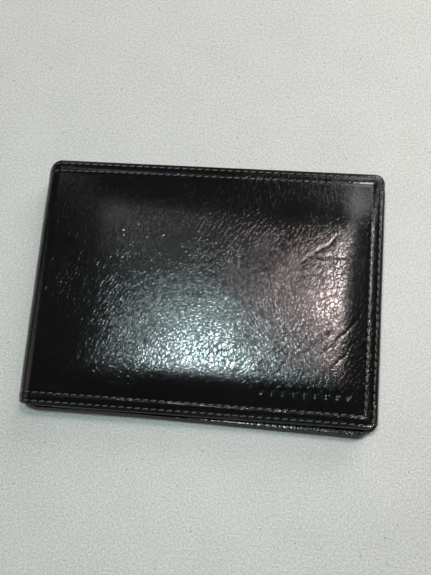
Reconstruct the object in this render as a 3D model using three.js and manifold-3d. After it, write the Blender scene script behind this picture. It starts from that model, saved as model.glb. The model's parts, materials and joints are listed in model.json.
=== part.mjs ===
// A man's bifold wallet in black leather, closed, lying on its back cover.
// Millimetres, +Z up. X runs from the fold (-X) to the open edge (+X), and notes go in from +Y.
// Each half is a cover, its linings and its card pockets. Both are built by one function, lying on
// their covers, and the front one is then mirrored in Z.
// The fold is a spine strip with one hinge line along each of its long edges, like a book's spine.
// A leaf with a clear window is hinged between the halves, and droops a little at its free end.
import * as THREE from "three";
import { mergeVertices } from "three/addons/utils/BufferGeometryUtils.js";
import Module from "manifold-3d";

const wasm = await Module();
wasm.setup();

// Overall, closed.
const closedLength = 120; // fold to open edge
const closedHeight = 87; // along the fold
const cornerRadius = 3.5; // corners of the cover at the open edge
const frontShortfall = 1.2; // the front half stops short of the back half

// Sheet thicknesses and the gaps between sheets.
const leather = 0.8; // cover leather
const skived = 0.4; // leather pared thin where it is turned over or made into pockets
const board = 0.4; // stiffener glued inside the cover
const fabric = 0.25; // linings
const vinyl = 0.2; // clear window
const thread = 0.14; // how far a row of stitches stands above its leather
const glueLine = 0.05; // between sheets that are glued or sewn flat together
const slotGap = 0.2; // empty card slot
const leafClearance = 0.5; // above and below the leaf

// Cover: a flat sewn rim, and a middle that swells outwards over what the wallet holds.
const backSwell = 0.4;
const frontSwell = 2.4;
const swellWidth = 14; // from the rim to the full height of the swell
const swellSteps = 4;
const foldShare = 0.5; // at the fold the rim and the slope are this much as wide
const hemWidth = 6.4; // leather turned over inside the rim
const rimMargin = 0.6; // the rim is flat for this much past the hem
const mouthOpening = 0.4; // note compartment, between the hem and the inner wall

// Stitch rows, as distances in from the edge.
const outerRowInset = 1.3;
const innerRowInset = 4.1;
const threadWidth = 0.5;

// Inner sheets.
const innerInset = 1; // inner sheets stop short of the cover's edge
const wallSetback = 7.5; // the inner wall stops short of the note mouth
const gutterGap = 1.5; // from the end of the spine curve to the inner sheets
const innerCornerRadius = 2.6;

// Card pockets, for ISO cards.
const cardWidth = 85.6;
const cardHeight = 54;
const cardClearance = 2.2; // each side of a card
const cardReveal = 10; // how much of a card shows above its pocket
const firstMouthDrop = 6; // from the wall's top edge to the first mouth
const pocketStep = 11;
const flangeOverlap = 2; // a pocket's side flanges reach this far below the next mouth
const pocketsPerHalf = 3;

// Leaf between the halves.
const leafDroop = THREE.MathUtils.degToRad(-1.2);
const leafShortfall = 3.4; // the leaf stops short of the back cover's open edge
const leafHingeSetback = 0.5; // from the inner sheets' fold side to the leaf's hinge line
const leafTopSetback = 6;
const leafBottomSetback = 0.4;
const leafPanelStart = 5; // from the hinge line to the leaf's panels
const anchorWidth = 6;
const anchorThickness = 0.35;
const windowMargin = 12; // leather frame around the window
const windowLap = 3; // the clear sheet goes this far under the frame
const leafPocketDrop = 22; // from the leaf's top edge to its pocket's mouth

// Worked out from the sizes above.
const sheetsPerHalf = leather + skived + mouthOpening + skived + pocketsPerHalf * (slotGap + skived);
const leafThickness = skived + slotGap + skived + glueLine + vinyl + glueLine + skived;
const edgeThickness = 2 * sheetsPerHalf + 2 * leafClearance + leafThickness;
const closedThickness = backSwell + edgeThickness + frontSwell;
const spineRadius = edgeThickness / 2; // outside of the spine curve
const spineZ = backSwell + spineRadius;
const rimWidth = hemWidth + rimMargin;
const foldX = -closedLength / 2;
const edgeX = closedLength / 2;
const topY = closedHeight / 2;
const curveEndX = foldX + spineRadius; // where the spine curve meets the flat rim
const gutterX = curveEndX + gutterGap;
const wallTopY = topY - wallSetback;

// The cover is in three pieces that part at its two hinge lines, halfway round each quarter bend.
const splitAngle = Math.PI / 4;
const splitGap = 0.3;
const splitHalfAngle = splitGap / 2 / spineRadius;

const arcSteps = 6;
const minimumRadius = 0.4;

const blackLeather = () =>
  new THREE.MeshStandardMaterial({ color: 0x1b1b1d, roughness: 0.38, metalness: 0 });
const pocketLeather = () =>
  new THREE.MeshStandardMaterial({ color: 0x222224, roughness: 0.5, metalness: 0 });
const liningCloth = () =>
  new THREE.MeshStandardMaterial({ color: 0x161618, roughness: 0.9, metalness: 0 });
const greyBoard = () =>
  new THREE.MeshStandardMaterial({ color: 0x6d6a64, roughness: 0.95, metalness: 0 });
const sewingThread = () =>
  new THREE.MeshStandardMaterial({ color: 0x3b3c40, roughness: 0.6, metalness: 0 });
const clearVinyl = () =>
  new THREE.MeshStandardMaterial({ color: 0xd9dee0, roughness: 0.12, metalness: 0 });

function toSolid(geometry) {
  const bare = new THREE.BufferGeometry();
  bare.setAttribute("position", geometry.getAttribute("position"));
  bare.setIndex(geometry.index);
  const merged = mergeVertices(bare, 1e-4);
  return new wasm.Manifold(
    new wasm.Mesh({
      numProp: 3,
      vertProperties: merged.getAttribute("position").array,
      triVerts: new Uint32Array(merged.index.array),
    }),
  );
}

function join(...geometries) {
  const solid = geometries.map(toSolid).reduce((whole, next) => whole.add(next));
  const { vertProperties, triVerts } = solid.getMesh();
  const geometry = new THREE.BufferGeometry();
  geometry.setAttribute("position", new THREE.BufferAttribute(vertProperties, 3));
  geometry.setIndex(new THREE.BufferAttribute(triVerts, 1));
  return geometry;
}

// A quarter circle, counter-clockwise.
function corner(centreX, centreY, radius, startAngle) {
  return Array.from({ length: arcSteps + 1 }, (_, i) => {
    const angle = startAngle + (i / arcSteps) * (Math.PI / 2);
    return new THREE.Vector2(centreX + radius * Math.cos(angle), centreY + radius * Math.sin(angle));
  });
}

// A rectangle with its +X corners rounded, counter-clockwise from the lower left.
function panelOutline({ x0, x1, y0, y1, radius }) {
  const r = Math.max(radius, minimumRadius);
  return [
    new THREE.Vector2(x0, y0),
    ...corner(x1 - r, y0 + r, r, -Math.PI / 2),
    ...corner(x1 - r, y1 - r, r, 0),
    new THREE.Vector2(x0, y1),
  ];
}

// The same panel, smaller by one distance on its three sewn sides and by another at the fold.
function insetOutline(box, distance, foldDistance = distance) {
  return panelOutline({
    x0: box.x0 + foldDistance,
    x1: box.x1 - distance,
    y0: box.y0 + distance,
    y1: box.y1 - distance,
    radius: box.radius - distance,
  });
}

function sheet(points, thickness) {
  const shape = new THREE.Shape(points);
  return new THREE.ExtrudeGeometry(shape, { depth: thickness, bevelEnabled: false });
}

// A band along the three sewn sides of a panel, between two distances in from its edge.
function sewnBand(box, from, to, thickness) {
  return sheet([...insetOutline(box, from, 0), ...insetOutline(box, to, 0).reverse()], thickness);
}

function stitchRow(box, inset) {
  return sewnBand(box, inset - threadWidth / 2, inset + threadWidth / 2, thread);
}

// A sheet with a flat rim and a swollen middle. The middle's outside is at z = 0, facing down.
// The rim is cut off at firstInset.
function swollenSheet(box, thickness, swell, firstInset = 0) {
  const insets = [firstInset];
  for (let i = 0; i <= swellSteps; i++) insets.push(rimWidth + (swellWidth * i) / swellSteps);
  const rings = insets.map((inset) => insetOutline(box, inset, inset * foldShare));
  const heights = insets.map(
    (inset) => swell * (1 - THREE.MathUtils.smoothstep(inset, rimWidth, rimWidth + swellWidth)),
  );
  const perRing = rings[0].length;
  const innerSide = rings.length * perRing; // first vertex of the inner side
  const positions = [];
  for (const lift of [0, thickness])
    rings.forEach((ring, i) => ring.forEach((p) => positions.push(p.x, p.y, heights[i] + lift)));
  const faces = [];
  const quad = (a, b, c, d) => faces.push(a, b, c, a, c, d);
  for (let i = 0; i < perRing; i++) {
    const next = (i + 1) % perRing;
    quad(i, next, innerSide + next, innerSide + i);
    for (let a = 0; a + perRing < innerSide; a += perRing) {
      const b = a + perRing;
      quad(a + i, b + i, b + next, a + next);
      quad(innerSide + a + i, innerSide + a + next, innerSide + b + next, innerSide + b + i);
    }
  }
  const middle = innerSide - perRing;
  for (let i = 1; i + 1 < perRing; i++) {
    faces.push(middle, middle + i + 1, middle + i);
    faces.push(innerSide + middle, innerSide + middle + i, innerSide + middle + i + 1);
  }
  const geometry = new THREE.BufferGeometry();
  geometry.setAttribute("position", new THREE.BufferAttribute(new Float32Array(positions), 3));
  geometry.setIndex(faces);
  return geometry;
}

// A strip of the spine curve, as a section in XZ run along Y. Angles are about the curve's middle:
// 0 points to -X, and they grow towards the cover that the half lies on.
function curvedStrip(centreZ, outerRadius, thickness, fromAngle, toAngle, y0, y1) {
  const section = new THREE.Shape();
  const start = Math.PI + fromAngle;
  const end = Math.PI + toAngle;
  section.absarc(0, 0, outerRadius, start, end, false);
  section.absarc(0, 0, outerRadius - thickness, end, start, true);
  const geometry = new THREE.ExtrudeGeometry(section, {
    depth: y1 - y0,
    bevelEnabled: false,
    curveSegments: arcSteps,
  });
  geometry.rotateX(Math.PI / 2);
  geometry.translate(curveEndX, y1, centreZ);
  return geometry;
}

function addMesh(group, name, geometry, material, z = 0) {
  const mesh = new THREE.Mesh(geometry, material);
  mesh.name = name;
  mesh.position.z = z;
  group.add(mesh);
}

// The cover's flat part, its hem turned over inside, and an eighth of the spine curve.
function coverPanel(box, swell) {
  const rootOverlap = leather / 4; // the hem and the curve run this far into the flat part
  const hem = sewnBand(box, 0, hemWidth, skived + rootOverlap);
  hem.translate(0, 0, swell + leather - rootOverlap);
  const curveStart = splitAngle + splitHalfAngle;
  const curveEnd = Math.PI / 2 + rootOverlap / spineRadius;
  const curve = curvedStrip(
    swell + spineRadius, spineRadius, leather, curveStart, curveEnd, -topY, topY,
  );
  return join(swollenSheet(box, leather, swell), hem, curve);
}

// The note compartment's inner wall. Its edge is turned under, and sewn down to the cover's hem.
function noteWall(box) {
  const plate = sheet(panelOutline(box), skived);
  plate.translate(0, 0, mouthOpening);
  const turnedWidth = hemWidth - innerInset;
  const { x0, x1, y0, y1, radius } = box;
  const turned = sheet(
    [
      new THREE.Vector2(x0, y0),
      ...corner(x1 - radius, y0 + radius, radius, -Math.PI / 2),
      new THREE.Vector2(x1, y1),
      new THREE.Vector2(x1 - turnedWidth, y1),
      new THREE.Vector2(x1 - turnedWidth, y0 + turnedWidth),
      new THREE.Vector2(x0, y0 + turnedWidth),
    ],
    mouthOpening + skived / 2 - glueLine,
  );
  turned.translate(0, 0, glueLine);
  return join(plate, turned);
}

// Pocket 0 is the rearmost. The front one is a whole panel, and those behind it are T-shaped, so
// that their sides don't pile up.
function pocketMouthY(index) {
  return wallTopY - firstMouthDrop - index * pocketStep;
}

function cardPocket(box, index) {
  const mouthY = pocketMouthY(index);
  if (index === pocketsPerHalf - 1) return sheet(panelOutline({ ...box, y1: mouthY }), skived);
  const middleX = (box.x0 + box.x1) / 2;
  const stemLeft = middleX - cardWidth / 2 - cardClearance;
  const stemRight = middleX + cardWidth / 2 + cardClearance;
  const flangeY = mouthY - pocketStep - flangeOverlap;
  const bottomY = mouthY - (cardHeight - cardReveal);
  return sheet(
    [
      new THREE.Vector2(box.x0, flangeY),
      new THREE.Vector2(stemLeft, flangeY),
      new THREE.Vector2(stemLeft, bottomY),
      new THREE.Vector2(stemRight, bottomY),
      new THREE.Vector2(stemRight, flangeY),
      new THREE.Vector2(box.x1, flangeY),
      new THREE.Vector2(box.x1, mouthY),
      new THREE.Vector2(box.x0, mouthY),
    ],
    skived,
  );
}

// One half, lying on its cover: the swollen middle rests at z = 0.
function makeHalf(side, swell, shortfall) {
  const half = new THREE.Group();
  const coverBox = {
    x0: curveEndX,
    x1: edgeX - shortfall,
    y0: -topY,
    y1: topY,
    radius: cornerRadius,
  };
  addMesh(half, `${side}_cover`, coverPanel(coverBox, swell), blackLeather());
  const rowZ = swell - thread - glueLine;
  const outerRow = stitchRow(coverBox, outerRowInset);
  const innerRow = stitchRow(coverBox, innerRowInset);
  addMesh(half, `${side}_cover_outer_stitching`, outerRow, sewingThread(), rowZ);
  addMesh(half, `${side}_cover_inner_stitching`, innerRow, sewingThread(), rowZ);

  const linerInset = hemWidth + rimMargin / 2; // just inside the hem
  let z = leather + glueLine;
  const stiffener = swollenSheet(coverBox, board, swell, linerInset);
  addMesh(half, `${side}_cover_stiffener`, stiffener, greyBoard(), z);
  z += board + glueLine;
  const lining = swollenSheet(coverBox, fabric, swell, linerInset);
  addMesh(half, `${side}_note_lining`, lining, liningCloth(), z);

  const innerBox = {
    x0: gutterX,
    x1: coverBox.x1 - innerInset,
    y0: -topY + innerInset,
    y1: wallTopY,
    radius: innerCornerRadius,
  };
  z = swell + leather + skived;
  addMesh(half, `${side}_note_wall`, noteWall(innerBox), liningCloth(), z);
  z += mouthOpening + skived;
  for (let i = 0; i < pocketsPerHalf; i++) {
    z += slotGap;
    addMesh(half, `${side}_card_pocket_${i + 1}`, cardPocket(innerBox, i), pocketLeather(), z);
    z += skived;
  }
  const frontPocket = { ...innerBox, x0: gutterX + anchorWidth + glueLine };
  frontPocket.y1 = pocketMouthY(pocketsPerHalf - 1);
  const pocketRow = stitchRow(frontPocket, outerRowInset);
  addMesh(half, `${side}_pocket_stitching`, pocketRow, sewingThread(), z + glueLine);
  return half;
}

// The pieces that bend between the halves at the fold, one inside another.
function makeSpine() {
  const spine = new THREE.Group();
  const reach = splitAngle - splitHalfAngle;
  const strip = (radius, thickness, setback) =>
    curvedStrip(spineZ, radius, thickness, -reach, reach, -topY + setback, topY - setback);
  const noteRadius = spineRadius - leather - glueLine;
  const gutterRadius = noteRadius - fabric - mouthOpening;
  addMesh(spine, "spine_cover", strip(spineRadius, leather, 0), blackLeather());
  addMesh(spine, "spine_note_lining", strip(noteRadius, fabric, hemWidth), liningCloth());
  addMesh(spine, "spine_gutter_lining", strip(gutterRadius, skived, wallSetback), liningCloth());
  return spine;
}

// The leaf lies along +X from its hinge line, which is Y at the group's origin.
function makeLeaf() {
  const leaf = new THREE.Group();
  const hingeX = gutterX + leafHingeSetback;
  leaf.position.set(hingeX, 0, backSwell + sheetsPerHalf + leafClearance);
  leaf.rotation.z = leafDroop;
  const box = {
    x0: leafPanelStart,
    x1: edgeX - leafShortfall - hingeX,
    y0: -topY + leafBottomSetback,
    y1: topY - leafTopSetback,
    radius: cornerRadius,
  };
  let z = 0;
  const pocket = sheet(panelOutline({ ...box, y1: box.y1 - leafPocketDrop }), skived);
  addMesh(leaf, "leaf_card_pocket", pocket, pocketLeather(), z);
  z += skived + slotGap;
  const hingeStrip = { ...box, x0: 0, x1: leafPanelStart - glueLine, radius: 0 };
  addMesh(leaf, "leaf_hinge_strip", sheet(panelOutline(hingeStrip), skived), blackLeather(), z);
  addMesh(leaf, "leaf_back_panel", sheet(panelOutline(box), skived), pocketLeather(), z);
  z += skived + glueLine;
  const clearSheet = sheet(insetOutline(box, windowMargin - windowLap), vinyl);
  addMesh(leaf, "leaf_clear_window", clearSheet, clearVinyl(), z);
  z += vinyl + glueLine;
  const frame = new THREE.Shape(panelOutline(box));
  frame.holes.push(new THREE.Path(insetOutline(box, windowMargin).reverse()));
  const frameSheet = new THREE.ExtrudeGeometry(frame, { depth: skived, bevelEnabled: false });
  addMesh(leaf, "leaf_window_frame", frameSheet, blackLeather(), z);
  z += skived + glueLine;
  addMesh(leaf, "leaf_stitching", stitchRow(box, outerRowInset), sewingThread(), z);
  return leaf;
}

// Sewn to the back half's pockets, under the leaf's hinge strip.
function anchorStrip() {
  return sheet(
    panelOutline({
      x0: gutterX,
      x1: gutterX + anchorWidth,
      y0: -topY + innerInset,
      y1: pocketMouthY(pocketsPerHalf - 1),
      radius: 0,
    }),
    anchorThickness,
  );
}

const back = makeHalf("back", backSwell, 0);
addMesh(back, "leaf_anchor_strip", anchorStrip(), blackLeather(), backSwell + sheetsPerHalf + glueLine);
const front = makeHalf("front", frontSwell, frontShortfall);
front.scale.z = -1;
front.position.z = closedThickness;

const wallet = new THREE.Group();
wallet.add(back, front, makeSpine(), makeLeaf());

// The origin is the middle of the closed wallet's base, and the drooping leaf is part of its size.
const extent = new THREE.Box3().setFromObject(wallet, true);
wallet.position.y = -(extent.min.y + extent.max.y) / 2;

export default wallet;
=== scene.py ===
import json
import math

import bpy
from mathutils import Matrix, Vector, noise


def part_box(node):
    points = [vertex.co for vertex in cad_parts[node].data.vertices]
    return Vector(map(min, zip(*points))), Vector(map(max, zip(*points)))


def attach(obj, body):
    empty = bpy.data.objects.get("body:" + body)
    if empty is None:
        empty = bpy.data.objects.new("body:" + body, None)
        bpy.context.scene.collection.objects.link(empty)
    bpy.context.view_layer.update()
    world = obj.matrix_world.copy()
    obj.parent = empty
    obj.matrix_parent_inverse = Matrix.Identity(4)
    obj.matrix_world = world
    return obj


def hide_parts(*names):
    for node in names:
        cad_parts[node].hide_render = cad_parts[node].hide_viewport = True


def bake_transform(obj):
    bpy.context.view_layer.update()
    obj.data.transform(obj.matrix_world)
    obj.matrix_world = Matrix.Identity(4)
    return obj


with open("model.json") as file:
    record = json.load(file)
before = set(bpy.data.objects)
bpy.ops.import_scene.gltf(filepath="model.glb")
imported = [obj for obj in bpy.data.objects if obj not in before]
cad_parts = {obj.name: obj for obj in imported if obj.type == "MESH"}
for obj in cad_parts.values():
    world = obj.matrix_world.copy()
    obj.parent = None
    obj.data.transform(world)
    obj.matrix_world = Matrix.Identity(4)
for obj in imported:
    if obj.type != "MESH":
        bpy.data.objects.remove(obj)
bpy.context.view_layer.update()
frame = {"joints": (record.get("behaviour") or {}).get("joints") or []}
mm = 0.001
wavePeriod = 0.314  # metres from band to band of a wave texture at scale 1

# Places from the frame. Each half is described on a flat pattern: along (from the fold's middle
# to the open edge), across (Y) and out (from the sewn rim's outer face, outwards).
spineLow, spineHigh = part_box("spine_cover")
coverLow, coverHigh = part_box("back_cover")
foldX = spineLow.x
spineZ = (spineLow.z + spineHigh.z) / 2
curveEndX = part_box("front_cover_outer_stitching")[0].x
foldRadius = curveEndX - foldX
foldLength = foldRadius * math.pi / 2
foldMiddle = curveEndX - foldLength
lowY = coverLow.y
highY = coverHigh.y
centreY = (lowY + highY) / 2
outwards = {"back": -1, "front": 1}
openX = {"back": coverHigh.x, "front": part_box("front_cover")[1].x}


def depthOf(node):
    # how far a node's two faces lie inside the sewn rim's outer face
    low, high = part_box(node)
    side = node.split("_")[0]
    faces = [foldRadius - outwards[side] * (z - spineZ) for z in (low.z, high.z)]
    return min(faces), max(faces)


foldPinch = {"top": 2.4 * mm, "bottom": 0.9 * mm, "width": 5.2 * mm}  # the fold's ends are drawn in


def onPattern(side, along, across, out):
    radius = foldRadius + out
    turn = max((curveEndX - along) / foldRadius, 0.0)
    flatX = max(along, curveEndX)
    fromFold = flatX - foldRadius * math.sin(turn) - foldX
    if fromFold < foldPinch["width"]:
        share = (across - centreY) / (highY - centreY)
        pinch = foldPinch["top" if share > 0 else "bottom"]
        across -= share * pinch * (1 - fromFold / foldPinch["width"]) ** 2
    rise = outwards[side] * radius * math.cos(turn)
    return Vector((flatX - radius * math.sin(turn), across, spineZ + rise))


def deselectAll():
    if bpy.context.object and bpy.context.object.mode != "OBJECT":
        bpy.ops.object.mode_set(mode="OBJECT")
    bpy.ops.object.select_all(action="DESELECT")


def makeActive(piece):
    deselectAll()
    piece.select_set(True)
    bpy.context.view_layer.objects.active = piece


def ease(value):
    value = min(max(value, 0.0), 1.0)
    return value * value * (3 - 2 * value)


def rgb(hexCode):
    channels = [int(hexCode[i:i + 2], 16) / 255 for i in (1, 3, 5)]
    linear = [c / 12.92 if c <= 0.04045 else ((c + 0.055) / 1.055) ** 2.4 for c in channels]
    return (*linear, 1.0)


def addNode(tree, kind, settings=None, inputs=None, links=None):
    node = tree.nodes.new(kind)
    for key, value in (settings or {}).items():
        setattr(node, key, value)
    for key, value in (inputs or {}).items():
        node.inputs[key].default_value = value
    for key, source in (links or {}).items():
        tree.links.new(source, node.inputs[key])
    return node


def newMaterial(name):
    material = bpy.data.materials.new(name)
    material.use_nodes = True
    tree = material.node_tree
    tree.nodes.clear()
    output = addNode(tree, "ShaderNodeOutputMaterial")
    shader = addNode(tree, "ShaderNodeBsdfPrincipled")
    tree.links.new(shader.outputs["BSDF"], output.inputs["Surface"])
    return material, tree, shader


coverLeatherLook = {
    "dark": "#0a0a0b",
    "light": "#131213",
    "worn": "#26231f",
    "roughness": (0.14, 0.19),
    "pebble": 0.85,  # mm across one pebble of the grain
    "wrinkle": (2.6, 1.3),  # mm along and across a cell of the stretched wrinkles
    "lean": 60,  # degrees from the wallet's length to the wrinkles
    "fine": 0.20,  # mm, the smallest creases in the finish
    "shine": 0.5,
    "furrow": 0.16,  # how little the bottom of a wrinkle shines
    "relief": {"stretched": 0.019, "grained": 0.013, "finished": 0.006},  # mm
}


def polishedCowhide(look, name):
    # Chrome-tanned leather, plated and polished: near-black, glossy on its pebbles and dark in
    # the creases between them, with the finish rubbed a little brown at the edges.
    material, tree, shader = newMaterial(name)
    place = addNode(tree, "ShaderNodeTexCoord").outputs["Object"]
    drift = addNode(tree, "ShaderNodeTexNoise", inputs={"Scale": 330.0, "Detail": 3.0},
                    links={"Vector": place})
    bent = addNode(tree, "ShaderNodeVectorMath", {"operation": "MULTIPLY_ADD"},
                   {1: (1.2 * mm, 1.2 * mm, 1.2 * mm)}, {0: drift.outputs["Color"], 2: place})
    broad = addNode(tree, "ShaderNodeTexNoise", inputs={"Scale": 55.0, "Detail": 3.0},
                    links={"Vector": place})
    cells = addNode(tree, "ShaderNodeTexVoronoi", {"feature": "DISTANCE_TO_EDGE"},
                    {"Scale": 1 / (look["pebble"] * mm)}, {"Vector": bent.outputs[0]})
    pebbles = addNode(tree, "ShaderNodeMapRange", {"interpolation_type": "SMOOTHSTEP"},
                      {"From Min": 0.0, "From Max": 0.30}, {"Value": cells.outputs["Distance"]})
    along = addNode(tree, "ShaderNodeMapping", {"vector_type": "TEXTURE"},
                    {"Rotation": (0, 0, math.radians(look["lean"])),
                     "Scale": (look["wrinkle"][0] * mm, look["wrinkle"][1] * mm, 3 * mm)},
                    {"Vector": bent.outputs[0]})
    wrinkles = addNode(tree, "ShaderNodeTexVoronoi", {"feature": "DISTANCE_TO_EDGE"}, {"Scale": 1.0},
                       {"Vector": along.outputs[0]})
    valleys = addNode(tree, "ShaderNodeMapRange", {"interpolation_type": "SMOOTHSTEP"},
                      {"From Min": 0.0, "From Max": 0.10}, {"Value": wrinkles.outputs["Distance"]})
    comes = addNode(tree, "ShaderNodeMapRange", inputs={"From Min": 0.22, "From Max": 0.62},
                    links={"Value": broad.outputs["Fac"]})
    creased = addNode(tree, "ShaderNodeMath", {"operation": "MULTIPLY"},
                      links={0: valleys.outputs[0], 1: comes.outputs[0]})
    fine = addNode(tree, "ShaderNodeTexNoise",
                   inputs={"Scale": 1 / (look["fine"] * mm), "Detail": 3.0},
                   links={"Vector": bent.outputs[0]})

    colour = addNode(tree, "ShaderNodeMix", {"data_type": "RGBA"},
                     {6: rgb(look["dark"]), 7: rgb(look["light"])}, {0: broad.outputs["Fac"]})
    edge = addNode(tree, "ShaderNodeAttribute", {"attribute_name": "wear"})
    rubbed = addNode(tree, "ShaderNodeMath", {"operation": "MULTIPLY"},
                     links={0: edge.outputs["Fac"], 1: fine.outputs["Fac"]})
    worn = addNode(tree, "ShaderNodeMix", {"data_type": "RGBA"}, {7: rgb(look["worn"])},
                   {0: rubbed.outputs[0], 6: colour.outputs[2]})
    tree.links.new(worn.outputs[2], shader.inputs["Base Color"])

    duller = addNode(tree, "ShaderNodeMath", {"operation": "MULTIPLY_ADD"}, {1: 0.6},
                     {0: broad.outputs["Fac"], 2: cells.outputs["Distance"]})
    rough = addNode(tree, "ShaderNodeMapRange",
                    inputs={"From Min": 0.2, "From Max": 1.1,
                            "To Min": look["roughness"][0], "To Max": look["roughness"][1]},
                    links={"Value": duller.outputs[0]})
    furrows = addNode(tree, "ShaderNodeMath", {"operation": "SUBTRACT"},
                      links={0: comes.outputs[0], 1: creased.outputs[0]})
    dusty = addNode(tree, "ShaderNodeMapRange", inputs={"To Min": look["shine"], "To Max": look["furrow"]},
                    links={"Value": furrows.outputs[0]})
    tree.links.new(dusty.outputs[0], shader.inputs["Specular IOR Level"])
    tree.links.new(rough.outputs[0], shader.inputs["Roughness"])

    normal = None
    layers = [(creased.outputs[0], "stretched"), (pebbles.outputs[0], "grained"),
              (fine.outputs["Fac"], "finished")]
    for height, layer in layers:
        bump = addNode(tree, "ShaderNodeBump", inputs={"Distance": look["relief"][layer] * mm},
                       links={"Height": height})
        if normal:
            tree.links.new(normal, bump.inputs["Normal"])
        normal = bump.outputs[0]
    tree.links.new(normal, shader.inputs["Normal"])
    shader.inputs["IOR"].default_value = 1.5
    return material


pocketLeatherLook = {
    "dark": "#0e0e0f",
    "light": "#1c1b1b",
    "worn": "#4a443d",
    "roughness": (0.28, 0.42),
    "pebble": 0.7,
    "wrinkle": (3.0, 2.4),
    "lean": 20,
    "fine": 0.25,
    "shine": 0.5,
    "furrow": 0.25,
    "relief": {"stretched": 0.020, "grained": 0.024, "finished": 0.006},
}

coverLeather = polishedCowhide(coverLeatherLook, "polishedCowhide")
pocketLeather = polishedCowhide(pocketLeatherLook, "splitCalfPockets")

liningLook = {
    "dark": "#0d0d0e",
    "light": "#1d1d20",
    "pitch": 0.5,  # mm between yarns, drawn coarser than the real 0.2
}


def wovenLining(look):
    # Plain-woven nylon taffeta: a dull, fine over-and-under weave with a slight sheen.
    material, tree, shader = newMaterial("wovenNylonLining")
    place = addNode(tree, "ShaderNodeTexCoord").outputs["Object"]
    waves = []
    for direction in ("X", "Y"):
        wave = addNode(tree, "ShaderNodeTexWave", {"wave_type": "BANDS", "bands_direction": direction},
                       {"Scale": wavePeriod / (look["pitch"] * mm), "Distortion": 0.4, "Detail": 1.0},
                       {"Vector": place})
        waves.append(wave)
    weave = addNode(tree, "ShaderNodeMath", {"operation": "MULTIPLY"},
                    links={0: waves[0].outputs["Fac"], 1: waves[1].outputs["Fac"]})
    colour = addNode(tree, "ShaderNodeMix", {"data_type": "RGBA"},
                     {6: rgb(look["dark"]), 7: rgb(look["light"])}, {0: weave.outputs[0]})
    bump = addNode(tree, "ShaderNodeBump", inputs={"Strength": 0.5, "Distance": 0.08 * mm},
                   links={"Height": weave.outputs[0]})
    tree.links.new(colour.outputs[2], shader.inputs["Base Color"])
    tree.links.new(bump.outputs[0], shader.inputs["Normal"])
    shader.inputs["Roughness"].default_value = 0.72
    shader.inputs["Sheen Weight"].default_value = 0.25
    return material


# The thread itself is charcoal; its light colour is a painted glint, laid along the ply's twist.
threadLook = {"dark": "#19191b", "light": "#5b5b60", "twist": 0.5}  # mm along one turn of the ply


def waxedThread(look):
    # Bonded polyester thread: charcoal, waxed smooth, with a painted glint: lighter colour in bands along
    # the ply's twist.
    material, tree, shader = newMaterial("waxedPolyesterThread")
    place = addNode(tree, "ShaderNodeTexCoord").outputs["Object"]
    turned = addNode(tree, "ShaderNodeMapping", inputs={"Rotation": (0, 0, math.radians(40))},
                     links={"Vector": place})
    plyAndPaintedGlint = addNode(tree, "ShaderNodeTexWave", {"wave_type": "BANDS", "bands_direction": "X"},
                  {"Scale": wavePeriod / (look["twist"] * mm), "Distortion": 0.6},
                  {"Vector": turned.outputs[0]})
    # painted glint: the ply's bands mix the light colour into the charcoal
    colour = addNode(tree, "ShaderNodeMix", {"data_type": "RGBA"},
                     {6: rgb(look["dark"]), 7: rgb(look["light"])}, {0: plyAndPaintedGlint.outputs["Fac"]})
    bump = addNode(tree, "ShaderNodeBump", inputs={"Strength": 0.5, "Distance": 0.05 * mm},
                   links={"Height": plyAndPaintedGlint.outputs["Fac"]})
    tree.links.new(colour.outputs[2], shader.inputs["Base Color"])
    tree.links.new(bump.outputs[0], shader.inputs["Normal"])
    shader.inputs["Roughness"].default_value = 0.42
    shader.inputs["Sheen Weight"].default_value = 0.3
    return material


filmLook = {"tint": "#e9eeee", "haze": (0.05, 0.16), "cover": 0.28}  # cover is how much it hides


def clearFilm(look):
    # Calendered PVC film: clear, glossy, slightly hazed by rubbing.
    material, tree, shader = newMaterial("clearVinylFilm")
    place = addNode(tree, "ShaderNodeTexCoord").outputs["Object"]
    scuffs = addNode(tree, "ShaderNodeTexNoise", inputs={"Scale": 140.0, "Detail": 5.0},
                     links={"Vector": place})
    rough = addNode(tree, "ShaderNodeMapRange",
                    inputs={"To Min": look["haze"][0], "To Max": look["haze"][1]},
                    links={"Value": scuffs.outputs["Fac"]})
    bump = addNode(tree, "ShaderNodeBump", inputs={"Strength": 0.3, "Distance": 0.2 * mm},
                   links={"Height": scuffs.outputs["Fac"]})
    tree.links.new(rough.outputs[0], shader.inputs["Roughness"])
    tree.links.new(bump.outputs[0], shader.inputs["Normal"])
    shader.inputs["Base Color"].default_value = rgb(look["tint"])
    shader.inputs["IOR"].default_value = 1.53
    shader.inputs["Alpha"].default_value = look["cover"]
    return material


boardLook = {"dark": "#6b5f50", "light": "#8d806d", "fibre": 0.8}


def bondedBoard(look):
    # Bonded leather board: pressed brown-grey fibres, matte and slightly uneven.
    material, tree, shader = newMaterial("bondedLeatherBoard")
    place = addNode(tree, "ShaderNodeTexCoord").outputs["Object"]
    fibres = addNode(tree, "ShaderNodeTexNoise",
                     inputs={"Scale": 1 / (look["fibre"] * mm), "Detail": 6.0, "Roughness": 0.7},
                     links={"Vector": place})
    colour = addNode(tree, "ShaderNodeMix", {"data_type": "RGBA"},
                     {6: rgb(look["dark"]), 7: rgb(look["light"])}, {0: fibres.outputs["Fac"]})
    bump = addNode(tree, "ShaderNodeBump", inputs={"Strength": 0.4, "Distance": 0.06 * mm},
                   links={"Height": fibres.outputs["Fac"]})
    tree.links.new(colour.outputs[2], shader.inputs["Base Color"])
    tree.links.new(bump.outputs[0], shader.inputs["Normal"])
    shader.inputs["Roughness"].default_value = 0.88
    return material


lining = wovenLining(liningLook)
thread = waxedThread(threadLook)
film = clearFilm(filmLook)
boardMaterial = bondedBoard(boardLook)
print("materials made")


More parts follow.
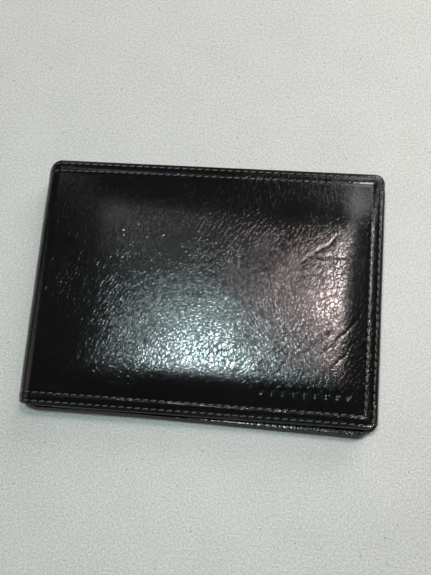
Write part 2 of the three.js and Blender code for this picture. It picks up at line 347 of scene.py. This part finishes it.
def gridLines(low, high, nose, fine, band, coarse):
    # close lines round a sheet's rounded edge, fine ones over its sewn band, wide ones between
    edge = [nose * (1 - math.cos(k * math.pi / 8)) for k in range(5)]
    while edge[-1] < band:
        edge.append(edge[-1] + fine)
    middle = high - low - 2 * edge[-1]
    count = max(2, round(middle / coarse))
    inner = [low + edge[-1] + middle * k / count for k in range(1, count)]
    return [low + e for e in edge] + inner + [high - e for e in reversed(edge)]


def addLines(lines, low, high, spacing):
    # extra lines where small detail is pressed in
    kept = [x for x in lines if not low - spacing / 2 < x < high + spacing / 2]
    count = round((high - low) / spacing)
    return sorted(kept + [low + (high - low) * k / count for k in range(count + 1)])


def roundedCorner(along, across, box, radius):
    # moves a point by the open edge's square corners to where it lies on round ones
    low, high = box
    if radius and along > high[0] - radius:
        for sign, edgeY in ((1, high[1]), (-1, low[1])):
            reach = sign * (across - (edgeY - sign * radius))
            if reach > 0:
                u = (along - (high[0] - radius)) / radius
                v = reach / radius
                along = high[0] - radius + radius * u * math.sqrt(1 - v * v / 2)
                across = edgeY - sign * radius + sign * radius * v * math.sqrt(1 - u * u / 2)
                break
    return along, across


def insetIn(shape, along, across):
    # how far a point lies in from the nearest free edge of a flat shape
    best = -1.0
    for low, high in shape["parts"]:
        gaps = [high[0] - along, across - low[1], high[1] - across]
        if not (shape.get("open") and low[0] <= shape["parts"][0][0][0]):
            gaps.append(along - low[0])
        best = max(best, min(gaps))
    if "hole" in shape:
        low, high = shape["hole"]
        best = min(best, max(low[0] - along, along - high[0], low[1] - across, across - high[1]))
    return best


wornWidth = 1.4 * mm  # how far in from an edge the finish is rubbed


def addSheet(name, xs, ys, shape, place, top, thickness):
    # A grid is cut to the flat shape, doubled, and each of its points is put where it belongs.
    # top and thickness are functions of along, across and the distance in from the nearest edge.
    deselectAll()
    bpy.ops.mesh.primitive_grid_add(x_subdivisions=len(xs) - 1, y_subdivisions=len(ys) - 1, size=2)
    sheet = bpy.context.object
    sheet.name = name
    sheet.data.name = name
    for vertex in sheet.data.vertices:
        column = round((vertex.co.x + 1) / 2 * (len(xs) - 1))
        row = round((vertex.co.y + 1) / 2 * (len(ys) - 1))
        vertex.co.x = xs[column]
        vertex.co.y = ys[row]
    bpy.ops.object.mode_set(mode="EDIT")
    bpy.ops.mesh.select_mode(type="FACE")
    bpy.ops.mesh.select_all(action="DESELECT")
    bpy.ops.object.mode_set(mode="OBJECT")
    for face in sheet.data.polygons:
        face.select = insetIn(shape, face.center.x, face.center.y) < 0
    bpy.ops.object.mode_set(mode="EDIT")
    bpy.ops.mesh.delete(type="FACE")
    bpy.ops.mesh.select_all(action="SELECT")
    bpy.ops.mesh.extrude_region_move(TRANSFORM_OT_translate={"value": (0, 0, -1)})
    bpy.ops.object.mode_set(mode="OBJECT")
    wear = sheet.data.attributes.new("wear", "FLOAT", "POINT")
    box = ((xs[0], ys[0]), (xs[-1], ys[-1]))
    for vertex in sheet.data.vertices:
        x, y, z = vertex.co
        inset = max(insetIn(shape, x, y), 0.0)
        thick = thickness(x, y, inset)
        nose = thick / 2
        rest = max(nose - inset, 0.0)
        half = math.sqrt(max(nose * nose - rest * rest, 0.0))
        out = top(x, y, inset) - nose + (half if z > -0.5 else -half)
        wear.data[vertex.index].value = 1 - ease(inset / wornWidth)
        along, across = roundedCorner(x, y, box, shape.get("corner", 0))
        vertex.co = place(along, across, out)
    finishMesh(sheet)
    return sheet


def finishMesh(piece):
    makeActive(piece)
    bpy.ops.object.mode_set(mode="EDIT")
    bpy.ops.mesh.select_all(action="SELECT")
    bpy.ops.mesh.remove_doubles(threshold=0.002 * mm)
    bpy.ops.mesh.normals_make_consistent(inside=False)
    bpy.ops.object.mode_set(mode="OBJECT")
    bpy.ops.object.shade_smooth_by_angle(angle=math.radians(40))
    deselectAll()


def dress(piece, material):
    piece.data.materials.clear()
    piece.data.materials.append(material)


cover = {
    "leather": 0.8 * mm,
    "hem": 0.4 * mm,  # the edge turned over inside
    "hemWidth": 6.4 * mm,
    "corner": 3.5 * mm,
    "rows": (1.3 * mm, 4.1 * mm),  # stitch rows, in from the edge
    "rowDepth": 0.13 * mm,  # how far the thread pulls the leather in
    "rowWidth": 0.42 * mm,
    "pillow": 0.07 * mm,  # leather standing up between the rows
    "swell": {"front": 2.9 * mm, "back": 0.32 * mm},  # how far the middle stands above the rim
    "crown": {"front": 0.9 * mm, "back": 0.04 * mm},  # and how much more it is domed
    "slopes": {  # how far in from each edge the rise goes, and how soft its crest is
        "bottom": (11.2 * mm, 2.0 * mm),
        "top": (16 * mm, 3.2 * mm),
        "open": (11 * mm, 1.6 * mm),
        "fold": (25 * mm, 5 * mm),
    },
    "buckle": 0.055 * mm,  # slow waves in the worn skin, and how long they are
    "buckleLength": 20 * mm,
    "pucker": 0.010 * mm,
    "puckerLength": 3.2 * mm,
    "loose": (5 * mm, 6 * mm),  # the skin comes loose here, in from the edge, over this width
    "sewnBand": 7 * mm,  # as wide as the stitch rows need fine mesh
    "mesh": {"sewn": 0.4 * mm, "front": 0.55 * mm, "back": 0.9 * mm},  # between mesh lines
    "foldSteps": 30,
}

# Creases from use: start and end in from the open edge and up from the bottom edge, then depth
# and width, all in mm.
creases = [
    (26, 55, 5, 56, 0.10, 0.30),
    (19, 21, 6, 38, 0.10, 0.45),
    (15, 18, 7, 29, 0.08, 0.40),
    (26, 20, 14, 33, 0.09, 0.40),
    (30, 50, 12, 66, 0.06, 0.45),
    (108, 5, 92, 14, 0.16, 0.60),
    (104, 9, 96, 20, 0.10, 0.50),
    (86, 52, 70, 68, 0.06, 0.50),
]

# A row of plain lozenges pressed into the leather, near the bottom of the open edge.
motif = {
    "count": 9,
    "pitch": 3.45 * mm,
    "width": 2.3 * mm,
    "height": 3.6 * mm,
    "fromOpenEdge": 8.2 * mm,
    "fromBottom": 8.3 * mm,
    "depth": 0.42 * mm,
    "slope": 0.45,  # share of a lozenge's half-width that slopes in
}


def rise(distance, width, softness):
    # straight up from an edge, then rounding over to level
    past = (distance - width) / softness
    over = math.log1p(math.exp(past)) if past < 30 else past
    start = math.log1p(math.exp(-width / softness))
    return (distance - softness * (over - start)) / (width + softness * start)


def bulge(side, along, across):
    gaps = {"bottom": across - lowY, "top": highY - across,
            "open": openX[side] - along, "fold": along - foldMiddle}
    share = 1.0
    for edge, (width, softness) in cover["slopes"].items():
        share *= max(rise(gaps[edge], width, softness), 0.0)
    u = 2 * (along - foldMiddle) / (openX[side] - foldMiddle) - 1
    v = 2 * (across - lowY) / (highY - lowY) - 1
    crown = cover["crown"][side] * (1 - u * u) * (1 - v * v)
    return share * (cover["swell"][side] + crown)


def creaseDepth(side, along, across):
    if side == "back":
        return 0.0
    total = 0.0
    x = (openX[side] - along) / mm
    y = (across - lowY) / mm
    for x0, y0, x1, y1, depth, width in creases:
        dx, dy = x1 - x0, y1 - y0
        length = math.hypot(dx, dy)
        share = ((x - x0) * dx + (y - y0) * dy) / (length * length)
        if -0.05 < share < 1.05:
            offset = ((x - x0) * dy - (y - y0) * dx) / length
            offset += 0.9 * noise.noise(Vector((x * 0.25, y * 0.25, length)))  # it wanders, in mm
            fade = ease(share * 4) * ease((1 - share) * 4)
            total += depth * mm * fade * math.exp(-(offset / width) ** 2)
    return total


def motifDepth(side, along, across):
    if side == "back":
        return 0.0
    fromRight = (openX[side] - along - motif["fromOpenEdge"]) / motif["pitch"]
    if not 0 <= fromRight < motif["count"]:
        return 0.0
    sideways = abs(fromRight % 1 - 0.5) * motif["pitch"] / (motif["width"] / 2)
    upwards = abs(across - lowY - motif["fromBottom"] - motif["height"] / 2) / (motif["height"] / 2)
    within = 1 - sideways - upwards
    return motif["depth"] * ease(within / motif["slope"])


def coverTop(side):
    # the cover's outer face: bulge, thread valleys, loose skin, creases and pressed motif
    def top(along, across, inset):
        out = bulge(side, along, across)
        for row in cover["rows"]:
            out -= cover["rowDepth"] * math.exp(-((inset - row) / cover["rowWidth"]) ** 2)
        between = (inset - cover["rows"][0]) / (cover["rows"][1] - cover["rows"][0])
        if 0 < between < 1:
            out += cover["pillow"] * math.sin(math.pi * between)
        spot = Vector((along, across, 0))
        begins, width = cover["loose"]
        loose = ease((inset - begins) / width)
        if side == "front":
            waves = noise.fractal(spot / cover["buckleLength"], 0.7, 2.0, 2)
            puckers = noise.fractal(spot / cover["puckerLength"], 0.7, 2.0, 2)
            out += loose * cover["buckle"] * waves
            out += (0.25 + 0.75 * loose) * cover["pucker"] * puckers
        else:
            out -= 0.5 * cover["pucker"] * (1 + noise.noise(spot / (4 * mm)))
        out -= creaseDepth(side, along, across) + motifDepth(side, along, across)
        return out
    return top


def coverThickness(side):
    def thickness(along, across, inset):
        turned = 1 - ease((inset - cover["hemWidth"]) / (0.5 * mm))
        pressed = creaseDepth(side, along, across) + motifDepth(side, along, across)
        return cover["leather"] + cover["hem"] * turned - pressed
    return thickness


def coverLines(side):
    nose = (cover["leather"] + cover["hem"]) / 2
    band, fine, middle = cover["sewnBand"], cover["mesh"]["sewn"], cover["mesh"][side]
    steps = cover["foldSteps"]
    ys = gridLines(lowY, highY, nose, fine, band, middle)
    flat = gridLines(curveEndX, openX[side], nose, fine, band, middle)
    xs = [foldMiddle + foldLength * k / steps for k in range(steps + 1)]
    xs += [curveEndX + band * k / 12 for k in range(1, 13)]
    xs += [x for x in flat if x > curveEndX + band + 0.3 * mm]
    if side == "front":
        right = openX[side] - motif["fromOpenEdge"]
        bottom = lowY + motif["fromBottom"]
        xs = addLines(xs, right - motif["count"] * motif["pitch"], right, motif["pitch"] / 10)
        ys = addLines(ys, bottom, bottom + motif["height"], motif["height"] / 10)
    return xs, ys


def placeOn(side):
    return lambda along, across, out: onPattern(side, along, across, out)


def bendWithSpine(piece, side):
    # only bakes the piece's transform into its mesh, the same on either side; it does not bend the piece
    # further or tie it to a half
    if side == "back":
        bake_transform(piece)
    else:
        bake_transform(piece)


for side in ("back", "front"):
    xs, ys = coverLines(side)
    outline = {"parts": [((xs[0], lowY), (openX[side], highY))], "open": True,
               "corner": cover["corner"]}
    skin = addSheet(f"{side}CoverSkin", xs, ys, outline, placeOn(side), coverTop(side),
                    coverThickness(side))
    dress(skin, coverLeather)
    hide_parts(f"{side}_cover")
    if side == "front":
        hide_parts("spine_cover")
    bendWithSpine(skin, side)
print("covers made")


stitching = {
    "pitch": 2.65 * mm,
    "length": 2.1 * mm,
    "width": 0.44 * mm,
    "height": 0.4 * mm,
    "slant": math.radians(6),
    "sink": 0.8,  # share of the thread's valley that a stitch lies in
}


def modelStitch():
    deselectAll()
    bpy.ops.mesh.primitive_uv_sphere_add(segments=8, ring_count=6, radius=0.5)
    stitch = bpy.context.object
    stitch.name = "stitch"
    bpy.ops.object.mode_set(mode="EDIT")
    bpy.ops.mesh.select_all(action="SELECT")
    bpy.ops.transform.rotate(value=math.pi / 2, orient_axis="Y", center_override=(0, 0, 0))
    size = (stitching["length"], stitching["width"], stitching["height"])
    bpy.ops.transform.resize(value=size, center_override=(0, 0, 0))
    bpy.ops.object.mode_set(mode="OBJECT")
    return stitch


stitch = modelStitch()


def sewnPath(box, inset, start):
    # corner points of a row along the bottom, the open edge and the top
    low, high = box
    return [
        (start, low[1] + inset),
        (high[0] - inset, low[1] + inset),
        (high[0] - inset, high[1] - inset),
        (start, high[1] - inset),
    ]


def addStitchRow(name, path, box, corner, place, level):
    # level is a function of along and across: where the leather lies under the thread
    copies = []
    for (x0, y0), (x1, y1) in zip(path, path[1:]):
        length = math.hypot(x1 - x0, y1 - y0)
        count = max(1, round(length / stitching["pitch"]))
        angle = math.atan2(y1 - y0, x1 - x0) + stitching["slant"]
        turn = Matrix.Rotation(angle, 4, "Z")
        for k in range(count):
            share = (k + 0.5) / count
            middle = Vector((x0 + (x1 - x0) * share, y0 + (y1 - y0) * share, 0))
            mesh = stitch.data.copy()
            mesh.transform(Matrix.Translation(middle) @ turn)
            for vertex in mesh.vertices:
                x, y, z = vertex.co
                out = z + level(x, y)
                along, across = roundedCorner(x, y, box, corner)
                vertex.co = place(along, across, out)
            copy = bpy.data.objects.new(name, mesh)
            bpy.context.scene.collection.objects.link(copy)
            copies.append(copy)
    deselectAll()
    for copy in copies:
        copy.select_set(True)
    bpy.context.view_layer.objects.active = copies[0]
    bpy.ops.object.join()
    row = copies[0]
    row.name = name
    finishMesh(row)
    dress(row, thread)
    return row


def threadLevel(side):
    def level(along, across):
        return bulge(side, along, across) - stitching["sink"] * cover["rowDepth"]
    return level


for side in ("back", "front"):
    box = ((foldMiddle, lowY), (openX[side], highY))
    for inset, word in zip(cover["rows"], ("outer", "inner")):
        path = sewnPath(box, inset, foldMiddle)
        row = addStitchRow(f"{side}{word.capitalize()}Stitches", path, box, cover["corner"],
                           placeOn(side), threadLevel(side))
        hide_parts(f"{side}_cover_{word}_stitching")
        bendWithSpine(row, side)
print("cover stitching made")


inside = {
    "stiffener": (0.95 * mm, 1.22 * mm),  # faces, in from the sewn rim's outer face
    "lining": (1.30 * mm, 1.52 * mm),
    "wall": (1.60 * mm, 2.00 * mm),
    "wallTurned": 0.32 * mm,  # its turned edge fills the space down to the cover's hem
    "wallSewn": 5.4 * mm,  # how wide that edge is
    "corner": 2.6 * mm,
    "mouthRoll": 0.12 * mm,  # a pocket's mouth is turned in, so it is thicker
    "creaseLine": 1.9 * mm,  # ironed line below the mouth
    "creaseDepth": 0.07 * mm,
    "flange": 13 * mm,  # depth of the wide part of a stepped pocket, below its mouth
    "stem": 90 * mm,  # width of the narrow part under it
    "threadIn": 0.25 * mm,  # a stitch row's middle, in from its own CAD outline
    "rowIn": 1.3 * mm,  # and in from the pocket's edge
    "threadSink": 0.02 * mm,
}


def plain(value):
    return lambda along, across, inset: value


def spread(low, high, spacing):
    # lines across a plain sheet, close at its edges
    nose = 0.2 * mm
    edge = [nose * (1 - math.cos(k * math.pi / 6)) for k in range(4)] + [2.2 * nose, 4.5 * nose]
    middle = high - low - 2 * edge[-1]
    count = max(1, round(middle / spacing))
    inner = [low + edge[-1] + middle * k / count for k in range(1, count)]
    return [low + e for e in edge] + inner + [high - e for e in reversed(edge)]


def addPlainSheet(name, shape, spacing, place, top, thickness, material, extra=()):
    parts = shape["parts"]
    if "hole" in shape:
        parts = parts + [shape["hole"]]
    xs, ys = [], []
    for low, high in parts:
        xs += spread(low[0], high[0], spacing)
        ys += spread(low[1], high[1], spacing)
    xs = thinned(xs, [c[0] for part in parts for c in part])
    ys = thinned(ys + list(extra), [c[1] for part in parts for c in part])
    sheet = addSheet(name, xs, ys, shape, place, top, thickness)
    dress(sheet, material)
    return sheet


def thinned(lines, kept):
    # merges grid lines that are almost the same, keeping those on the shape's own edges
    result = []
    for value in sorted(set(lines)):
        if result and value - result[-1] < 0.008 * mm:
            if value in kept:
                result[-1] = value
            continue
        result.append(value)
    return result


def linerTop(side, depth):
    # a sheet glued to the cover's inside follows its bulge
    def top(along, across, inset):
        return bulge(side, along, across) - depth
    return top


def pocketTop(depth, mouthY):
    def top(along, across, inset):
        below = mouthY - across
        line = inside["creaseDepth"] * math.exp(-((below - inside["creaseLine"]) / (0.22 * mm)) ** 2)
        ripple = 0.03 * mm * noise.noise(Vector((along, across, depth)) / (9 * mm))
        return -depth + line + ripple
    return top


def pocketThickness(leather, mouthY):
    def thickness(along, across, inset):
        below = mouthY - across
        return leather + inside["mouthRoll"] * (1 - ease((below - 1.0 * mm) / (0.5 * mm)))
    return thickness


for side in ("back", "front"):
    place = placeOn(side)
    low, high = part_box(f"{side}_cover_stiffener")
    box = ((low.x, low.y), (high.x, high.y))
    near, far = inside["stiffener"]
    stiffener = addPlainSheet(f"{side}Stiffener", {"parts": [box]}, 2.5 * mm, place,
                              linerTop(side, near), plain(far - near), boardMaterial)
    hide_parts(f"{side}_cover_stiffener")
    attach(stiffener, f"{side}_half")

    near, far = inside["lining"]
    lined = {"parts": [((foldMiddle, low.y), (high.x, high.y))], "open": True}
    noteLining = addPlainSheet(f"{side}NoteLining", lined, 2.0 * mm, place,
                               linerTop(side, near), plain(far - near), lining)
    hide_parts(f"{side}_note_lining", *(["spine_note_lining"] if side == "back" else []))
    bendWithSpine(noteLining, side)

    low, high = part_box(f"{side}_note_wall")
    near, far = inside["wall"]

    def wallThickness(along, across, inset):
        fromSewn = min(across - low.y, high.x - along) - inside["wallSewn"]
        return far - near + inside["wallTurned"] * (1 - ease(fromSewn / (0.5 * mm)))

    def wallTop(along, across, inset):
        return wallThickness(along, across, inset) - far

    walled = {"parts": [((foldMiddle, low.y), (high.x, high.y))], "open": True,
              "corner": inside["corner"]}
    wall = addPlainSheet(f"{side}NoteWall", walled, 1.6 * mm, place, wallTop, wallThickness,
                         lining)
    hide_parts(f"{side}_note_wall", *(["spine_gutter_lining"] if side == "back" else []))
    bendWithSpine(wall, side)

    for number in (1, 2, 3):
        node = f"{side}_card_pocket_{number}"
        low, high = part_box(node)
        near, far = depthOf(node)
        if number < 3:
            middle = (low.x + high.x) / 2
            reach = inside["stem"] / 2
            shape = {"parts": [((low.x, high.y - inside["flange"]), (high.x, high.y)),
                               ((middle - reach, low.y), (middle + reach, high.y))]}
        else:
            shape = {"parts": [((low.x, low.y), (high.x, high.y))], "corner": inside["corner"]}
        pocket = addPlainSheet(f"{side}CardPocket{number}", shape, 1.6 * mm, place,
                               pocketTop(near, high.y), pocketThickness(far - near, high.y),
                               pocketLeather,
                               [high.y - k * 0.2 * mm for k in range(4, 16)])
        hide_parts(node)
        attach(pocket, f"{side}_half")

    low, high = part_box(f"{side}_pocket_stitching")
    path = sewnPath(((low.x, low.y), (high.x, high.y)), inside["threadIn"], low.x)

    def inwards(along, across, out):
        # on the half's inner face, standing up towards the leaf
        return onPattern(side, along, across, -out)

    level = depthOf(f"{side}_card_pocket_3")[1] + inside["threadSink"]
    edge = inside["rowIn"] - inside["threadIn"]
    box = ((low.x, low.y - edge), (high.x + edge, high.y + edge))
    row = addStitchRow(f"{side}PocketStitches", path, box, inside["corner"], inwards,
                       lambda x, y: level)
    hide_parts(f"{side}_pocket_stitching")
    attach(row, f"{side}_half")
print("insides made")


leaf = {
    "droop": math.radians(-1.2),
    "panelStart": 5 * mm,
    "bottomSetback": 0.4 * mm,
    "topSetback": 6 * mm,
    "openSetback": 3.4 * mm,
    "windowMargin": 12 * mm,
    "windowLap": 3 * mm,
    "pocketDrop": 22 * mm,
    "corner": 3.5 * mm,
    "row": 1.3 * mm,
    "panel": 0.38 * mm,  # thickness of each leather panel
    "film": 0.18 * mm,
    "warp": 0.04 * mm,
    "tops": {  # upper faces, above the hinge line
        "pocket": 0.4 * mm,
        "back": 1.0 * mm,
        "window": 1.24 * mm,
        "thread": 1.66 * mm,
        "frame": 1.7 * mm,
    },
}
leafHinge = next(joint for joint in frame["joints"] if joint["name"] == "leaf_fold")
hingeX, hingeZ = leafHinge["pos_m"][0], leafHinge["pos_m"][2]


def onLeaf(along, across, out):
    # along from the hinge line, across from the cover's middle
    c, s = math.cos(leaf["droop"]), math.sin(leaf["droop"])
    return Vector((hingeX + along * c - across * s, centreY + along * s + across * c, hingeZ + out))


leafLow = (leaf["panelStart"], lowY - centreY + leaf["bottomSetback"])
leafHigh = (openX["back"] - leaf["openSetback"] - hingeX, highY - centreY - leaf["topSetback"])


def warped(level):
    def top(along, across, inset):
        spot = Vector((along, across, level)) / (16 * mm)
        return level + leaf["warp"] * noise.noise(spot)
    return top


def resized(box, amount):
    # a box made bigger by the same amount on all four sides
    low, high = box
    return (low[0] - amount, low[1] - amount), (high[0] + amount, high[1] + amount)


def addLeafSheet(name, node, shape, spacing, layer, thick, material):
    sheet = addPlainSheet(name, shape, spacing, onLeaf, warped(leaf["tops"][layer]), plain(thick),
                          material)
    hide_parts(node)
    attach(sheet, "leaf")


pocketHigh = (leafHigh[0], leafHigh[1] - leaf["pocketDrop"])
hole = resized((leafLow, leafHigh), -leaf["windowMargin"])
wholePanel = {"parts": [(leafLow, leafHigh)], "corner": leaf["corner"]}
addLeafSheet("leafCardPocket", "leaf_card_pocket", {**wholePanel, "parts": [(leafLow, pocketHigh)]},
             1.6 * mm, "pocket", leaf["panel"], pocketLeather)
addLeafSheet("leafBackPanel", "leaf_back_panel", wholePanel,
             1.6 * mm, "back", leaf["panel"], pocketLeather)
addLeafSheet("leafWindowFrame", "leaf_window_frame", {**wholePanel, "hole": hole},
             1.2 * mm, "frame", leaf["panel"], coverLeather)
addLeafSheet("leafClearWindow", "leaf_clear_window", {"parts": [resized(hole, leaf["windowLap"])]},
             3 * mm, "window", leaf["film"], film)

path = sewnPath((leafLow, leafHigh), leaf["row"], leafLow[0])
leafRow = addStitchRow("leafStitches", path, (leafLow, leafHigh), leaf["corner"], onLeaf,
                       lambda x, y: leaf["tops"]["thread"])
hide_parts("leaf_stitching")
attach(leafRow, "leaf")


strip = {
    "anchor": 5.4 * mm,  # from the fold to the end sewn to the back half
    "anchorDrop": 0.25 * mm,  # below the hinge line
    "topRise": 0.8 * mm,  # above it
    "foldBack": 0.104 * mm,  # how far before the hinge line the strip starts to turn
    "leather": 0.32 * mm,
    "blend": (-0.05 * mm, 0.6 * mm),  # heights it bends between
}
stripRadius = (strip["anchorDrop"] + strip["topRise"]) / 2
stripArc = math.pi * stripRadius


def onHingeStrip(along, across, out):
    # Along runs from the anchor's free end round the fold, then under the leaf's panels.
    turnAt = hingeX - strip["foldBack"]
    middleZ = hingeZ - strip["anchorDrop"] + stripRadius
    if along < 0:
        return Vector((turnAt - along, centreY + across, middleZ - stripRadius - out))
    if along < stripArc:
        turn = along / stripRadius
        reach = stripRadius + out
        return Vector((turnAt - reach * math.sin(turn), centreY + across,
                       middleZ - reach * math.cos(turn)))
    return onLeaf(turnAt - hingeX + along - stripArc, across, strip["topRise"] + out)


anchorLow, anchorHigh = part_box("leaf_anchor_strip")
stripEnd = stripArc + leaf["panelStart"]
lowerEdge = anchorLow.y - centreY
stripShape = {"parts": [((-strip["anchor"], lowerEdge), (stripEnd, anchorHigh.y - centreY)),
                        ((stripArc, lowerEdge), (stripEnd, leafHigh[1]))]}
hingeStrip = addPlainSheet("leafHingeStrip", stripShape, 0.8 * mm, onHingeStrip,
                           plain(strip["leather"] / 2), plain(strip["leather"]), coverLeather)
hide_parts("leaf_hinge_strip", "leaf_anchor_strip")
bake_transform(hingeStrip)
print("leaf made")

bpy.data.objects.remove(stitch)


floorLook = {
    "light": "#dbd9d6",
    "dark": "#afaeaa",
    "fleck": "#8f928c",
    "speck": 0.65,  # mm, the spray's orange peel
    "fleckSpacing": 5.5,  # mm between stray dark flecks
    "roughness": 0.42,
    "size": 1.6,
}


def paleFloor(look):
    # Sprayed worktop: matte pale grey with a fine orange peel, a few flecks and slow cloudiness.
    material, tree, shader = newMaterial("sprayedWorktop")
    place = addNode(tree, "ShaderNodeTexCoord").outputs["Object"]
    specks = addNode(tree, "ShaderNodeTexNoise",
                     inputs={"Scale": 1 / (look["speck"] * mm), "Detail": 2.0, "Roughness": 0.7},
                     links={"Vector": place})
    broad = addNode(tree, "ShaderNodeTexNoise", inputs={"Scale": 60.0, "Detail": 3.0},
                    links={"Vector": place})
    both = addNode(tree, "ShaderNodeMath", {"operation": "MULTIPLY_ADD"}, {1: 0.10},
                   {0: broad.outputs["Fac"], 2: specks.outputs["Fac"]})
    share = addNode(tree, "ShaderNodeMapRange", inputs={"From Min": 0.36, "From Max": 0.74},
                    links={"Value": both.outputs[0]})
    mixed = addNode(tree, "ShaderNodeMix", {"data_type": "RGBA"},
                    {6: rgb(look["dark"]), 7: rgb(look["light"])}, {0: share.outputs[0]})
    stray = addNode(tree, "ShaderNodeTexVoronoi", inputs={"Scale": 1 / (look["fleckSpacing"] * mm)},
                    links={"Vector": place})
    fleck = addNode(tree, "ShaderNodeMapRange", inputs={"From Min": 0.07, "From Max": 0.04},
                    links={"Value": stray.outputs["Distance"]})
    flecked = addNode(tree, "ShaderNodeMix", {"data_type": "RGBA"}, {7: rgb(look["fleck"])},
                      {0: fleck.outputs[0], 6: mixed.outputs[2]})
    bump = addNode(tree, "ShaderNodeBump", inputs={"Strength": 0.6, "Distance": 0.08 * mm},
                   links={"Height": specks.outputs["Fac"]})
    tree.links.new(flecked.outputs[2], shader.inputs["Base Color"])
    tree.links.new(bump.outputs[0], shader.inputs["Normal"])
    shader.inputs["Roughness"].default_value = look["roughness"]
    return material


deselectAll()
bpy.ops.mesh.primitive_plane_add(size=floorLook["size"])
floor = bpy.context.object
floor.name = "worktop"
floor.data.materials.append(paleFloor(floorLook))

lights = [
    # name, place, size, watts, colour
    ("topWindow", (0.32, 0.54, 0.38), (0.50, 0.50), 2.6, "#fffcfa"),
    ("leftWall", (-1.20, -0.05, 0.64), (0.80, 0.80), 1.1, "#fffbf4"),
    ("nearWall", (0.25, -1.18, 0.64), (0.80, 0.80), 1.3, "#fffffb"),
    ("ceilingLeft", (-0.265, 0.423, 0.867), (0.26, 0.26), 0.24, "#fff8fc"),
    ("coolLamp", (-0.106, 0.056, 0.993), (0.07, 0.08), 2.75, "#e9fcff"),
    ("coolHigh", (-0.090, 0.104, 0.988), (0.06, 0.10), 1.1, "#d0fff8"),
    ("warmLamp", (0.160, 0.215, 0.961), (0.06, 0.09), 2.0, "#ffece7"),
    ("warmHigh", (0.258, 0.272, 0.928), (0.07, 0.10), 1.45, "#fff8f6"),
    ("sideLamp", (0.411, 0.349, 0.842), (0.07, 0.10), 0.40, "#fff6f7"),
]


def addLight(name, place, size, watts, colour):
    deselectAll()
    bpy.ops.object.light_add(type="AREA", location=place)
    light = bpy.context.object
    light.name = name
    light.data.shape = "ELLIPSE"
    light.data.size = size[0]
    light.data.size_y = size[1]
    light.data.energy = watts
    light.data.color = rgb(colour)[:3]
    light.rotation_euler = (-Vector(place)).to_track_quat("-Z", "Y").to_euler()


for light in lights:
    addLight(*light)

room = {"colour": "#dfe3e0", "strength": 0.03}
world = bpy.data.worlds.new("room")
bpy.context.scene.world = world
world.use_nodes = True
background = world.node_tree.nodes["Background"]
background.inputs["Color"].default_value = rgb(room["colour"])
background.inputs["Strength"].default_value = room["strength"]

view = {
    "place": (0.02893, -0.06449, 0.27437),
    "turn": (14.270, 4.333, 4.630),  # degrees
    "lens": 50.71,
    "nearest": 0.01,
}
deselectAll()
bpy.ops.object.camera_add(location=view["place"],
                          rotation=[math.radians(angle) for angle in view["turn"]])
camera = bpy.context.object
camera.data.lens = view["lens"]
camera.data.clip_start = view["nearest"]
bpy.context.scene.camera = camera
bpy.context.scene.view_settings.view_transform = "Standard"

print("scene ready")
